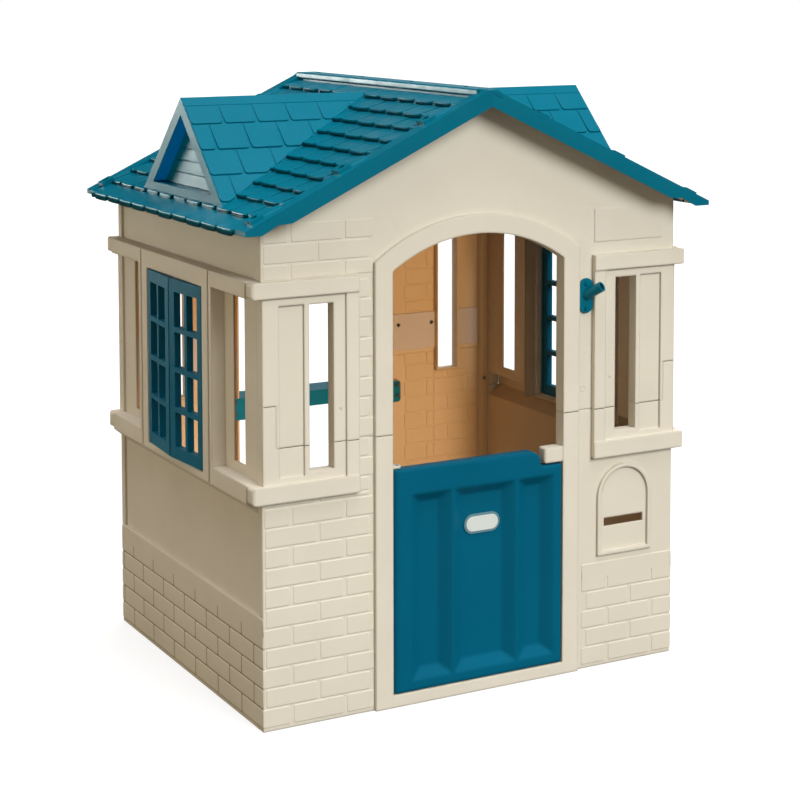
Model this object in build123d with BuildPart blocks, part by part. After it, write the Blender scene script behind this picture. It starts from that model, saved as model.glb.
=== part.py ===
"""Plastic cottage playhouse: moulded wall panels, a two-piece roof, a half door and shutters.

X points right seen from the front, Y towards the back and Z up. The origin is the centre of
the footprint, on the ground. Units are millimetres.
"""
import os
from math import atan, cos, degrees, sqrt

from build123d import *

os.makedirs("parts", exist_ok=True)

# ---------------------------------------------------------------- walls
HALF_W = 495.0  # centre to the outer face of a side corner
HALF_D = 392.0  # centre to the outer face of an end wall
SKIN = 4.0  # moulded wall thickness
RETURN_T = 5.0  # corner return of an end wall, wrapped round the side wall's edge
RETURN_DEPTH = 20.0
POST_IN = 462.0  # inner edge of the thickened corner post
POST_T = 8.0
POST_TOP = 1000.0
SEAM_Z = 570.0  # joint between the lower and upper half of an end wall
SEAM_CORNER_Z = 656.0
SEAM_STEP_X = 466.0
TONGUE_Z = (560.0, 662.0)
PLAQUE = ((288.0, 464.0), (931.0, 1002.0))  # blank raised panel beside the arch: x span, z span
PLAQUE_PROUD = 1.0

# ---------------------------------------------------------------- doorway
DOOR_HALF = 206.0
ARCH_TOP = 969.0
ARCH_RISE = 65.0
ARCH_R = (DOOR_HALF**2 + ARCH_RISE**2) / (2 * ARCH_RISE)
ARCH_CENTRE = ARCH_TOP - ARCH_R
SILL_Z = 26.0
JAMB_DEPTH = 22.0  # lining behind the outer face
CASING_W = 40.0
CASING_PROUD = 8.0

# ---------------------------------------------------------------- end-wall window frames
FRAME_IN = 283.0
STILE_OUT = 312.0
STILE_PROUD = 10.0
FIELD_PROUD = 6.0
RAIL_PROUD = 12.0
SILL_RAIL = (462.0, 498.0)
HEAD_RAIL = (870.0, 903.0)
KNOB_X = 520.0  # outer end of the rails, past the corner
KNOB_R = 8.0  # rounded ends of the rails
SLOT_X = (339.0, 393.0)
SLOT_Z = (517.0, 852.0)
PANEL_X = (404.0, 459.0)
PANEL_Z = (510.0, 853.0)
PANEL_SINK = 4.0

# ---------------------------------------------------------------- mail box
MAIL_X = 368.0
MAIL_HALF = 70.0
MAIL_Z = (244.0, 442.0)
MAIL_RIM = 9.0
MAIL_PROUD = 5.0
MAIL_SLOT = (102.0, 18.0)
MAIL_SLOT_Z = 316.0

# ---------------------------------------------------------------- side walls
SIDE_X = 490.0  # outer face of the plain skin
PLINTH_Z = 231.0
SIDE_TOP = 1020.0
SIDE_END = 380.0  # half length of the skin, up to the corner posts
BAND_END = 372.0  # half length of the window band, up to the corner returns
BAND_LOW = 437.0  # foot of the slope under the window band
CENTRE_HALF = 203.0  # half length of the middle window panel
GROOVE_Y = 187.0
GROOVE_W = 6.0
GROOVE_DEPTH = 2.0
WINDOW_HALF = 154.0
WINDOW_Z = (476.0, 864.0)
SIDE_SLOT_Y = (248.0, 303.0)
SIDE_SLOT_Z = (519.0, 862.0)
LINING_DEPTH = 30.0
STOP_W = 5.0  # rim behind the shutters
STOP_X = (496.0, 503.5)
FLANGE_IN = 464.0  # corner flange of a side wall

# ---------------------------------------------------------------- roof
RIDGE_BASE = 1260.0  # level of the shingle bed at the ridge
ROOF_SLOPE = 0.4709
ROOF_TILT = degrees(atan(ROOF_SLOPE))
ROOF_SKIN = 4.4  # measured upright
LAP = 10.0  # height of a shingle's lower edge above the bed
EAVE_X = 550.0
ROOF_HALF_D = 446.0
ROWS = 11
ROW_PITCH = 48.5
RAKE_IN = 410.0  # inner edge of the plain band along a gable edge
FASCIA_T = 4.0
EAVE_Z = 1001.0
CAP_HALF = 24.0
CAP_TOP = 1270.0
WALL_GAP = 0.5  # between a gable and the roof that rests on its flange
GABLE_FLANGE = 34.0
FLANGE_T = 4.5
FLANGE_X = 525.0
POCKET_X = (131.0, 322.0, 511.0)
POCKET_SIZE = 30.0
POCKET_RISE = 6.0
POCKET_R = 8.0
RIDGE_SCREW_Y = (-334.0, -98.0, 132.0, 362.0)

# ---------------------------------------------------------------- dormers
DORMER_X = (62.0, 499.0)
DORMER_TOP = 1243.0
DORMER_SLOPE = 0.967
DORMER_FOOT = 1030.0
RECESS_TOP = 1207.0
RECESS_FOOT = 1051.0
RECESS_DEPTH = 30.0

# ---------------------------------------------------------------- half door
DOOR_X = (-204.5, 204.0)
DOOR_Z = (28.0, 495.0)
DOOR_Y = (-400.0, -372.0)
DOOR_T = DOOR_Y[1] - DOOR_Y[0]
DOOR_AXIS = (DOOR_X[0] + DOOR_T / 2, (DOOR_Y[0] + DOOR_Y[1]) / 2)
DOOR_PIN_R = 5.0
DOOR_PIN_L = 8.0
DOOR_EDGE_R = 6.0
NOTCH = (150.0, 461.0)
NOTCH_R = 26.0  # shoulder above the notch
NOTCH_INNER_R = 7.0
NUB = ((160.0, 207.0), (466.0, 498.0))  # catch block of the wall, over the notch
NUB_R = 5.0
PANELS = ((-163.0, -67.0), (-62.0, 88.0), (93.0, 182.0))  # three sunk panels, outer edges
PANEL_DOOR_Z = (50.0, 440.0)
PANEL_SLOPE = (26.0, 20.0)  # width of the sloped borders: upright ones, level ones
PANEL_DEPTH = 17.0
LUG_Z = (497.0, 503.0)
LUG_R = 8.0
BADGE_SIZE = (87.0, 42.0)
BADGE_POS = (13.0, 355.0)  # on the floor of the middle panel
BADGE_T = 3.0

# ---------------------------------------------------------------- shutters
SHUTTER_T = 15.0
SHUTTER_AXIS = (512.0, 146.0)
SHUTTER_REACH = 144.5
SHUTTER_Z = (478.0, 862.0)
SHUTTER_PIN_R = 4.0
SHUTTER_PIN_L = 5.5
SHUTTER_STILE = 24.0
SHUTTER_RAIL = 26.0
SHUTTER_BAR = 11.0
SHUTTER_AJAR = 4.5  # degrees open at rest
PANE_ROWS = 4
PIN_GAP = 0.05  # running clearance of every hinge pin

# ---------------------------------------------------------------- counter and flag holder
COUNTER_HALF = 204.0
COUNTER_Y = (366.0, 445.0)
COUNTER_TOP = 499.0
COUNTER_LIP = 37.0
TAB_X = (176.0, 228.0)
TAB_Z = (447.0, 499.0)
TAB_R = 8.0
TAB_SCREW_X = 219.0
TAB_SCREW_Z = (463.5, 490.5)
FLAG_X = 265.0
FLAG_Z = 817.5
FLAG_PLATE = (75.0, 34.0)
FLAG_PLATE_T = 5.0
FLAG_TUBE_R = 11.0
FLAG_BORE_R = 8.0
FLAG_TUBE_L = 46.0
FLAG_LEAN = 40.0  # degrees from the wall's normal
FLAG_TURN = 40.0  # degrees of the tube towards the corner
FLAG_SCREW_Z = 27.0

# ---------------------------------------------------------------- screws
SHANK_R = 2.2
HOLE_R = 2.3
SCREW_L = 13.0
HEAD_R = 4.6
HEAD_H = 3.0
CROSS_SLOT = (5.0, 1.1, 1.2)

FRONT = Plane.XZ.offset(HALF_D)
FROM_TOP = (Align.CENTER, Align.CENTER, Align.MAX)
FROM_BASE = (Align.CENTER, Align.CENTER, Align.MIN)


# ---------------------------------------------------------------- shared helpers
def roof_bed(x):
    """Height of the shingle bed at a distance x from the ridge."""
    return RIDGE_BASE - ROOF_SLOPE * abs(x)


def wall_top(x):
    """Top edge of a gable, just under the roof skin."""
    return roof_bed(x) - ROOF_SKIN - WALL_GAP


def block(x, y, z, mode=Mode.ADD):
    """Box between two limits along each axis, in the active part."""
    centre = [(span[0] + span[1]) / 2 for span in (x, y, z)]
    size = [abs(span[1] - span[0]) for span in (x, y, z)]
    with Locations(tuple(centre)):
        Box(*size, mode=mode)


def sided(span, side):
    """A span on the positive side, carried to the side +1 or -1."""
    return tuple(sorted(side * value for value in span))


def grow(span, margin):
    return (span[0] - margin, span[1] + margin)


def arch_face(margin, bottom):
    """Arch-topped doorway outline, larger than the opening by a margin."""
    half = DOOR_HALF + margin
    radius = ARCH_R + margin
    spring = ARCH_CENTRE + sqrt(radius**2 - half**2)
    with BuildSketch(FRONT) as face:
        with BuildLine():
            Polyline((-half, spring), (-half, bottom), (half, bottom), (half, spring))
            ThreePointArc((half, spring), (0, ARCH_CENTRE + radius), (-half, spring))
        make_face()
    return face.sketch


def mail_face(margin):
    """Arch-topped outline of the mail box."""
    half = MAIL_HALF + margin
    spring = MAIL_Z[1] - MAIL_HALF
    with BuildSketch(FRONT) as face:
        with BuildLine():
            Polyline(
                (MAIL_X - half, spring),
                (MAIL_X - half, MAIL_Z[0] - margin),
                (MAIL_X + half, MAIL_Z[0] - margin),
                (MAIL_X + half, spring),
            )
            ThreePointArc((MAIL_X + half, spring), (MAIL_X, spring + half), (MAIL_X - half, spring))
        make_face()
    return face.sketch


def xz_face(points, y):
    """Closed face in an upright plane across the house, at a distance y from the middle."""
    with BuildSketch(Plane.XZ.offset(-y)) as face:
        with BuildLine():
            Polyline(*points, close=True)
        make_face()
    return face.sketch


def drill(places, length=SCREW_L + 1):
    """Screw holes into the active part."""
    with Locations(*places):
        Cylinder(HOLE_R, length, align=FROM_TOP, mode=Mode.SUBTRACT)


def screw_group(places):
    """One pan-head screw at each place, driven along its local -Z."""
    with BuildPart() as group:
        with Locations(*places):
            Cylinder(SHANK_R, SCREW_L, align=FROM_TOP)
            Cylinder(HEAD_R, HEAD_H, align=FROM_BASE)
            with Locations((0, 0, HEAD_H)):
                Box(*CROSS_SLOT, align=FROM_TOP, mode=Mode.SUBTRACT)
                Box(CROSS_SLOT[1], CROSS_SLOT[0], CROSS_SLOT[2], align=FROM_TOP, mode=Mode.SUBTRACT)
    return group.part


def save(part, name):
    part.label = name
    export_step(part, f"parts/{name}.step")


# ---------------------------------------------------------------- screw places
def seam_places(turn):
    """Screws through the tongue of the lower half into the upper half, from indoors."""
    y = -(HALF_D - SKIN - SKIN)
    places = [Location((side * x, y, 635.0), (-90, 0, 0)) for side in (-1, 1) for x in (231.0, 325.0)]
    return [Location((0, 0, 0), (0, 0, turn)) * place for place in places]


def corner_places(turn):
    """Screws through a side wall's corner flange into the post of an end wall."""
    y = -(SIDE_END - SKIN)
    places = [Location((side * 475.0, y, z), (-90, 0, 0)) for side in (-1, 1) for z in (120.0, 480.0, 886.0)]
    return [Location((0, 0, 0), (0, 0, turn)) * place for place in places]


def roof_places(side):
    """Screws in the pockets of one slope, square to the slope."""
    return [
        Location((side * x, end * (RAKE_IN + 2), roof_bed(x)), (0, side * ROOF_TILT, 0))
        for end in (-1, 1)
        for x in POCKET_X
    ]


RIDGE_PLACES = [Location((4.0, y, CAP_TOP - 3)) for y in RIDGE_SCREW_Y]
COUNTER_PLACES = [
    Location((side * TAB_SCREW_X, COUNTER_Y[0], z), (90, 0, 0)) for side in (-1, 1) for z in TAB_SCREW_Z
]
FLAG_PLACES = [
    Location((FLAG_X, -HALF_D - FLAG_PLATE_T, FLAG_Z + side * FLAG_SCREW_Z), (90, 0, 0)) for side in (-1, 1)
]


# ---------------------------------------------------------------- end walls
def end_wall():
    """A whole end wall in the front position, before it is split into halves."""
    with BuildPart() as wall:
        with BuildSketch(FRONT):
            with BuildLine():
                Polyline(
                    (-HALF_W, 0),
                    (HALF_W, 0),
                    (HALF_W, wall_top(HALF_W)),
                    (0, wall_top(0)),
                    (-HALF_W, wall_top(HALF_W)),
                    close=True,
                )
            make_face()
        extrude(amount=-SKIN)
        with BuildSketch(FRONT):
            with BuildLine():
                Polyline(
                    (-FLANGE_X, wall_top(FLANGE_X)),
                    (0, wall_top(0)),
                    (FLANGE_X, wall_top(FLANGE_X)),
                    (FLANGE_X, wall_top(FLANGE_X) - FLANGE_T),
                    (0, wall_top(0) - FLANGE_T),
                    (-FLANGE_X, wall_top(FLANGE_X) - FLANGE_T),
                    close=True,
                )
            make_face()
        extrude(amount=GABLE_FLANGE)
        extrude(arch_face(CASING_W, 0), amount=CASING_PROUD)
        extrude(arch_face(SKIN, 0), amount=-JAMB_DEPTH)
        for side in (-1, 1):
            end_wall_side(side)
        extrude(arch_face(0, SILL_Z), amount=GABLE_FLANGE, both=True, mode=Mode.SUBTRACT)
    return wall.part


def rail_knob(side, rail):
    """Rounded end of a rail, past the corner of the house."""
    with BuildPart(mode=Mode.PRIVATE) as knob:
        block(sided((HALF_W - RETURN_T, KNOB_X), side), (-HALF_D - RAIL_PROUD, -HALF_D + RETURN_DEPTH), rail)
        outer = knob.faces().sort_by(Axis.X)[-1 if side > 0 else 0]
        fillet(outer.edges(), radius=KNOB_R)
    return knob.part


def end_wall_side(side):
    """Window frame, corner return and corner post on one side of an end wall."""
    face = -HALF_D
    inner = face + SKIN
    block(sided((HALF_W - RETURN_T, HALF_W), side), (face, face + RETURN_DEPTH), (0, wall_top(HALF_W)))
    block(sided((POST_IN, SIDE_X), side), (inner, inner + POST_T), (0, POST_TOP))
    block(sided((FRAME_IN, HALF_W), side), (face - FIELD_PROUD, face), (SILL_RAIL[0], HEAD_RAIL[1]))
    block(sided((FRAME_IN, STILE_OUT), side), (face - STILE_PROUD, face), (SILL_RAIL[0], HEAD_RAIL[1]))
    for rail in (SILL_RAIL, HEAD_RAIL):
        block(sided((FRAME_IN, HALF_W), side), (face - RAIL_PROUD, face), rail)
        add(rail_knob(side, rail))
    block(sided(PANEL_X, side), (face - FIELD_PROUD, face - FIELD_PROUD + PANEL_SINK), PANEL_Z, Mode.SUBTRACT)
    block(sided(grow(SLOT_X, SKIN), side), (face, face + RETURN_DEPTH), grow(SLOT_Z, SKIN))
    block(sided(SLOT_X, side), (face - RAIL_PROUD, face + RETURN_DEPTH), SLOT_Z, Mode.SUBTRACT)


def lower_region():
    """Outline of the lower half, higher at the corner posts."""
    edge = KNOB_X + SKIN
    with BuildSketch(FRONT) as region:
        with BuildLine():
            Polyline(
                (-edge, -1),
                (edge, -1),
                (edge, SEAM_CORNER_Z),
                (SEAM_STEP_X, SEAM_CORNER_Z),
                (SEAM_STEP_X, SEAM_Z),
                (-SEAM_STEP_X, SEAM_Z),
                (-SEAM_STEP_X, SEAM_CORNER_Z),
                (-edge, SEAM_CORNER_Z),
                close=True,
            )
        make_face()
    return region.sketch


def lower_half(wall):
    """Lower half in the front position, with the tongues that stand behind the upper half."""
    back = -HALF_D + SKIN
    with BuildPart() as half:
        add(wall)
        extrude(lower_region(), amount=GABLE_FLANGE * 2, both=True, mode=Mode.INTERSECT)
        for side in (-1, 1):
            for span in ((DOOR_HALF + 6, SLOT_X[0] - 5), (SLOT_X[1] + 5, POST_IN - 1)):
                block(sided(span, side), (back, back + SKIN), TONGUE_Z)
        drill(seam_places(0))
        drill(corner_places(0))
    return half.part


def upper_half(wall):
    """Upper half in the front position."""
    with BuildPart() as half:
        add(wall)
        extrude(lower_region(), amount=GABLE_FLANGE * 2, both=True, mode=Mode.SUBTRACT)
        drill(seam_places(0))
        drill(corner_places(0))
        drill(roof_places(-1) + roof_places(1))
    return half.part


def catch_block():
    """Rounded block on the doorway's right jamb that stands over the door's notch."""
    with BuildPart(mode=Mode.PRIVATE) as catch:
        block(NUB[0], grow(DOOR_Y, -1), NUB[1])
        fillet(catch.faces().sort_by(Axis.X)[0].edges(), radius=NUB_R)
    return catch.part


whole_end_wall = end_wall()
plain_lower = lower_half(whole_end_wall)
plain_upper = upper_half(whole_end_wall)
TURN_BACK = Location((0, 0, 0), (0, 0, 180))

with BuildPart() as front_wall_lower:
    add(plain_lower)
    extrude(mail_face(0), amount=MAIL_PROUD)
    extrude(mail_face(-MAIL_RIM), amount=MAIL_PROUD, mode=Mode.SUBTRACT)
    with Locations((MAIL_X, -HALF_D, MAIL_SLOT_Z)):
        Box(MAIL_SLOT[0], GABLE_FLANGE, MAIL_SLOT[1], mode=Mode.SUBTRACT)
    add(catch_block())
    block((-DOOR_HALF - 1, DOOR_AXIS[0]), (DOOR_AXIS[1] - LUG_R, DOOR_AXIS[1] + LUG_R), LUG_Z)
    with Locations((DOOR_AXIS[0], DOOR_AXIS[1], LUG_Z[0])):
        Cylinder(LUG_R, LUG_Z[1] - LUG_Z[0], align=FROM_BASE)
    with Locations((DOOR_AXIS[0], DOOR_AXIS[1], SILL_Z)):
        Cylinder(DOOR_PIN_R + PIN_GAP, DOOR_PIN_L + 1, align=FROM_TOP, mode=Mode.SUBTRACT)
    with Locations((DOOR_AXIS[0], DOOR_AXIS[1], LUG_Z[1])):
        Cylinder(DOOR_PIN_R + PIN_GAP, LUG_Z[1] - LUG_Z[0], align=FROM_TOP, mode=Mode.SUBTRACT)

with BuildPart() as front_wall_upper:
    add(plain_upper)
    block(PLAQUE[0], (-HALF_D - PLAQUE_PROUD, -HALF_D), PLAQUE[1])
    drill(FLAG_PLACES)

with BuildPart() as back_wall_lower:
    add(TURN_BACK * plain_lower)
    for side in (-1, 1):
        block(sided((DOOR_HALF + SKIN, TAB_X[1]), side), (COUNTER_Y[0] + SKIN, HALF_D - SKIN), TAB_Z)
    drill(COUNTER_PLACES)

with BuildPart() as back_wall_upper:
    add(TURN_BACK * plain_upper)


# ---------------------------------------------------------------- side walls
def skin_strip(points, along):
    """Constant-thickness strip along a line of (x, z) points, carried through a span of Y."""
    with BuildSketch(Plane.XZ.offset(-along[0])) as strip:
        with BuildLine() as line:
            Polyline(*points)
        trace(line.line, line_width=SKIN)
    extrude(strip.sketch, amount=along[0] - along[1])


def side_wall():
    """The right side wall: one moulding from plinth to eave."""
    mid = SIDE_X - SKIN / 2
    out = KNOB_X - SKIN / 2
    plinth = HALF_W - SKIN / 2
    skin_in = SIDE_X - SKIN
    foot = [(plinth, 0), (plinth, PLINTH_Z - SKIN / 2), (mid, PLINTH_Z - SKIN / 2), (mid, BAND_LOW)]
    head = [(out, HEAD_RAIL[1] - SKIN / 2), (mid, HEAD_RAIL[1] - SKIN / 2), (mid, SIDE_TOP)]
    rail_top = SILL_RAIL[1] - SKIN / 2
    rail_foot = HEAD_RAIL[0] + SKIN / 2
    flank = [(out, SILL_RAIL[0]), (out, rail_top), (mid, rail_top), (mid, rail_foot), (out, rail_foot)]
    with BuildPart() as wall:
        skin_strip(foot + [(out, SILL_RAIL[0])] + head, (-CENTRE_HALF, CENTRE_HALF))
        for end in (-1, 1):
            skin_strip(foot + flank + head, sided((CENTRE_HALF, BAND_END), end))
            block((skin_in, SIDE_X), sided((BAND_END, SIDE_END), end), (0, SIDE_TOP))
            block((skin_in, KNOB_X), sided((CENTRE_HALF - SKIN, CENTRE_HALF), end), (SILL_RAIL[0], HEAD_RAIL[1]))
            block((FLANGE_IN, SIDE_X), sided((SIDE_END - SKIN, SIDE_END), end), (0, POST_TOP))
            corner = [(skin_in, BAND_LOW - SKIN), (KNOB_X, SILL_RAIL[0]), (skin_in, SILL_RAIL[0])]
            extrude(xz_face(corner, end * BAND_END), amount=end * SKIN)
            block((skin_in, SIDE_X), sided(SIDE_SLOT_Y, end), SIDE_SLOT_Z, Mode.SUBTRACT)
            groove = (end * GROOVE_Y - GROOVE_W / 2, end * GROOVE_Y + GROOVE_W / 2)
            block((KNOB_X - GROOVE_DEPTH, KNOB_X), groove, SILL_RAIL[:1] + HEAD_RAIL[1:], Mode.SUBTRACT)
        opening = (-WINDOW_HALF, WINDOW_HALF)
        block((KNOB_X - LINING_DEPTH, KNOB_X), grow(opening, SKIN), grow(WINDOW_Z, SKIN))
        block((KNOB_X - LINING_DEPTH - 1, KNOB_X), grow(opening, -STOP_W), grow(WINDOW_Z, -STOP_W), Mode.SUBTRACT)
        block((STOP_X[1], KNOB_X), opening, WINDOW_Z, Mode.SUBTRACT)
        block((KNOB_X - LINING_DEPTH, STOP_X[0]), opening, WINDOW_Z, Mode.SUBTRACT)
        for end in (-1, 1):
            for z in (WINDOW_Z[0] - SKIN, WINDOW_Z[1]):
                with Locations((SHUTTER_AXIS[0], end * SHUTTER_AXIS[1], z)):
                    Cylinder(SHUTTER_PIN_R + PIN_GAP, SKIN, align=FROM_BASE, mode=Mode.SUBTRACT)
        drill(corner_places(0) + corner_places(180))
    return wall.part


plain_side_wall = side_wall()

with BuildPart() as right_wall:
    add(plain_side_wall)

with BuildPart() as left_wall:
    add(TURN_BACK * plain_side_wall)


# ---------------------------------------------------------------- roof
def slope_profile():
    """Section of one slope: a flat bed below and stepped shingle rows above."""
    points = [(0, roof_bed(0)), (CAP_HALF, roof_bed(CAP_HALF))]
    for row in range(ROWS - 1, -1, -1):
        low = EAVE_X - ROW_PITCH * row
        high = max(low - ROW_PITCH, CAP_HALF + 1)
        points += [(high, roof_bed(high) + 1), (low, roof_bed(low) + LAP)]
    eave_in = (RIDGE_BASE - ROOF_SKIN - EAVE_Z) / ROOF_SLOPE
    points += [(EAVE_X, EAVE_Z), (eave_in, EAVE_Z), (0, roof_bed(0) - ROOF_SKIN)]
    with BuildSketch(Plane.XZ) as profile:
        with BuildLine():
            Polyline(*points, close=True)
        make_face()
    return profile.sketch


def gable_face(top, foot, x):
    """Triangle of a dormer, facing along X."""
    half = (top - foot) / DORMER_SLOPE
    with BuildSketch(Plane.YZ.offset(x)) as face:
        with BuildLine():
            Polyline((-half, foot), (half, foot), (0, top), close=True)
        make_face()
    return face.sketch


def add_dormer():
    """Hollow dormer that grows out of the right-hand slope, with a recessed triangular front."""
    length = DORMER_X[1] - DORMER_X[0]
    lift = SKIN * sqrt(1 + DORMER_SLOPE**2)
    under = [(x, roof_bed(x) - ROOF_SKIN) for x in DORMER_X]
    extrude(gable_face(DORMER_TOP, DORMER_FOOT, DORMER_X[0]), amount=length)
    below = xz_face(under + [(DORMER_X[1], DORMER_FOOT - 120), (DORMER_X[0], DORMER_FOOT - 120)], 0)
    extrude(below, amount=RAKE_IN, both=True, mode=Mode.SUBTRACT)
    hollow = gable_face(DORMER_TOP - lift, DORMER_FOOT - 60, DORMER_X[0] - SKIN)
    extrude(hollow, amount=length, mode=Mode.SUBTRACT)
    extrude(gable_face(RECESS_TOP + lift, RECESS_FOOT - SKIN, DORMER_X[1]), amount=-RECESS_DEPTH - SKIN)
    extrude(gable_face(RECESS_TOP, RECESS_FOOT, DORMER_X[1]), amount=-RECESS_DEPTH, mode=Mode.SUBTRACT)


def roof_half():
    """Right-hand roof panel."""
    fascia_foot = [(EAVE_X, EAVE_Z), (516, EAVE_Z), (480, 1020), (450, 1022), (0, 1233)]
    band_top = [(CAP_HALF, roof_bed(CAP_HALF) + LAP), (EAVE_X, roof_bed(EAVE_X) + LAP)]
    with BuildPart() as half:
        extrude(slope_profile(), amount=ROOF_HALF_D, both=True)
        add_dormer()
        for end in (-1, 1):
            bed = [(EAVE_X, EAVE_Z), (CAP_HALF, roof_bed(CAP_HALF))]
            extrude(xz_face(band_top + bed, end * ROOF_HALF_D), amount=end * (ROOF_HALF_D - RAKE_IN))
            edge = [(0, roof_bed(0)), (CAP_HALF, roof_bed(CAP_HALF))] + band_top + fascia_foot
            extrude(xz_face(edge, end * ROOF_HALF_D), amount=end * FASCIA_T)
        with Locations(*roof_places(1)):
            Box(POCKET_SIZE, POCKET_SIZE, LAP + POCKET_RISE, align=FROM_BASE)
            Cylinder(POCKET_R, LAP + POCKET_RISE, align=FROM_BASE, mode=Mode.SUBTRACT)
        drill(roof_places(1))
    return half.part


plain_roof_half = roof_half()

with BuildPart() as roof_right:
    add(plain_roof_half)
    drill(RIDGE_PLACES)

with BuildPart() as roof_left:
    add(mirror(plain_roof_half, about=Plane.YZ))
    cap = [
        (-CAP_HALF, roof_bed(CAP_HALF)),
        (-CAP_HALF, roof_bed(CAP_HALF) + LAP),
        (-CAP_HALF / 2, CAP_TOP - 3),
        (CAP_HALF / 2, CAP_TOP - 3),
        (CAP_HALF, roof_bed(CAP_HALF) + LAP),
        (CAP_HALF, roof_bed(CAP_HALF) + WALL_GAP),
        (0, roof_bed(0) + WALL_GAP),
        (0, roof_bed(0)),
    ]
    extrude(xz_face(cap, 0), amount=ROOF_HALF_D, both=True)
    drill(RIDGE_PLACES)


# ---------------------------------------------------------------- half door
with BuildPart() as front_door:
    block((DOOR_AXIS[0], DOOR_X[1]), DOOR_Y, DOOR_Z)
    with Locations((DOOR_AXIS[0], DOOR_AXIS[1], DOOR_Z[0])):
        Cylinder(DOOR_T / 2, DOOR_Z[1] - DOOR_Z[0], align=FROM_BASE)
    fillet(front_door.edges().filter_by(Axis.Z).group_by(Axis.X)[-1], radius=DOOR_EDGE_R)
    block((NOTCH[0], DOOR_X[1]), DOOR_Y, (NOTCH[1], DOOR_Z[1]), Mode.SUBTRACT)
    notch_edges = front_door.edges().filter_by(Axis.Y).filter_by_position(Axis.X, NOTCH[0] - 1, NOTCH[0] + 1)
    fillet(notch_edges.sort_by(Axis.Z)[-1], radius=NOTCH_R)
    notch_edges = front_door.edges().filter_by(Axis.Y).filter_by_position(Axis.X, NOTCH[0] - 1, NOTCH[0] + 1)
    fillet(notch_edges.sort_by(Axis.Z)[0], radius=NOTCH_INNER_R)
    for low, high in PANELS:
        for inset_x, inset_z, depth in ((0, 0, 0), (*PANEL_SLOPE, PANEL_DEPTH)):
            with BuildSketch(Plane.XZ.offset(-DOOR_Y[0] - depth)):
                with Locations(((low + high) / 2, sum(PANEL_DOOR_Z) / 2)):
                    Rectangle(high - low - 2 * inset_x, PANEL_DOOR_Z[1] - PANEL_DOOR_Z[0] - 2 * inset_z)
        loft(mode=Mode.SUBTRACT)
    with Locations((DOOR_AXIS[0], DOOR_AXIS[1], DOOR_Z[0])):
        Cylinder(DOOR_PIN_R, DOOR_PIN_L + 2, align=FROM_TOP)
    with Locations((DOOR_AXIS[0], DOOR_AXIS[1], DOOR_Z[1])):
        Cylinder(DOOR_PIN_R, DOOR_PIN_L, align=FROM_BASE)

with BuildPart() as door_badge:
    with BuildSketch(Plane.XZ.offset(-DOOR_Y[0] - PANEL_DEPTH)):
        with Locations(BADGE_POS):
            SlotOverall(*BADGE_SIZE)
    extrude(amount=BADGE_T)


# ---------------------------------------------------------------- shutters
def shutter_leaf():
    """Shutter along +X from its hinge axis, which is the local Z axis."""
    height = SHUTTER_Z[1] - SHUTTER_Z[0]
    radius = SHUTTER_T / 2
    inner = (SHUTTER_STILE - radius, SHUTTER_REACH - SHUTTER_STILE)
    pane_w = (inner[1] - inner[0] - SHUTTER_BAR) / 2
    pane_h = (height - 2 * SHUTTER_RAIL - (PANE_ROWS - 1) * SHUTTER_BAR) / PANE_ROWS
    middle = ((inner[0] + inner[1]) / 2, 0, (SHUTTER_Z[0] + SHUTTER_Z[1]) / 2)
    with BuildPart() as leaf:
        block((0, SHUTTER_REACH), (-radius, radius), SHUTTER_Z)
        with Locations((0, 0, SHUTTER_Z[0])):
            Cylinder(radius, height, align=FROM_BASE)
            Cylinder(SHUTTER_PIN_R, SHUTTER_PIN_L, align=FROM_TOP)
        with Locations((0, 0, SHUTTER_Z[1])):
            Cylinder(SHUTTER_PIN_R, SHUTTER_PIN_L, align=FROM_BASE)
        with Locations(Location(middle, (90, 0, 0))):
            with GridLocations(pane_w + SHUTTER_BAR, pane_h + SHUTTER_BAR, 2, PANE_ROWS):
                Box(pane_w, pane_h, SHUTTER_T, mode=Mode.SUBTRACT)
    return leaf.part


leaf = shutter_leaf()
# Each shutter: side of the house, end of the window, and the sense in which it opens.
SHUTTERS = {
    "shutter_right_front": (1, -1),
    "shutter_right_back": (1, 1),
    "shutter_left_front": (-1, -1),
    "shutter_left_back": (-1, 1),
}
for shutter_name, (side, end) in SHUTTERS.items():
    swing = -90 * end + side * end * SHUTTER_AJAR
    place = Location((side * SHUTTER_AXIS[0], end * SHUTTER_AXIS[1], 0), (0, 0, swing))
    save(place * leaf, shutter_name)


# ---------------------------------------------------------------- counter
with BuildPart() as counter_bar:
    block((-COUNTER_HALF, COUNTER_HALF), COUNTER_Y, (COUNTER_TOP - SKIN, COUNTER_TOP))
    for y in (COUNTER_Y[0], COUNTER_Y[1] - SKIN):
        block((-COUNTER_HALF, COUNTER_HALF), (y, y + SKIN), (COUNTER_TOP - COUNTER_LIP, COUNTER_TOP))
    for side in (-1, 1):
        block(sided((COUNTER_HALF - SKIN, COUNTER_HALF), side), COUNTER_Y, (COUNTER_TOP - COUNTER_LIP, COUNTER_TOP))
        block(sided(TAB_X, side), (COUNTER_Y[0], COUNTER_Y[0] + SKIN), TAB_Z)
    fillet(counter_bar.edges().filter_by(Axis.Y).group_by(Axis.X)[0], radius=TAB_R)
    fillet(counter_bar.edges().filter_by(Axis.Y).group_by(Axis.X)[-1], radius=TAB_R)
    drill(COUNTER_PLACES)


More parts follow.
